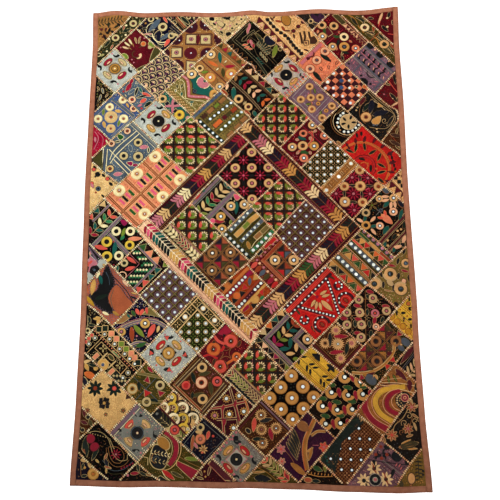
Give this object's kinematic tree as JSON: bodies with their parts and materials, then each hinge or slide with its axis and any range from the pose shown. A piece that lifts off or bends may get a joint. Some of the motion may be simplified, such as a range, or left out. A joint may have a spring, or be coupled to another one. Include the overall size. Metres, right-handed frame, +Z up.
{
  "type": "patchwork wall tapestry",
  "caption": "Hanging cloth of bias-set embroidered patches, joined by beaded braid and edged with plain strips.",
  "frame": {"origin": "middle of the top edge, on the cloth's middle layer", "axes": "+Z up along the hanging, +X to the right as one looks at the front, front towards -Y"},
  "size_m": [1.02, 0.0117, 1.5424],
  "materials": {
    "patchwork": "embroidered cotton, matt",
    "border": "plain rust cotton, soft sheen"
  },
  "bodies": {
    "root": {"patchwork_panel": "patchwork", "border_left": "border", "border_right": "border", "border_top": "border", "border_bottom": "border"}
  },
  "joints": []
}
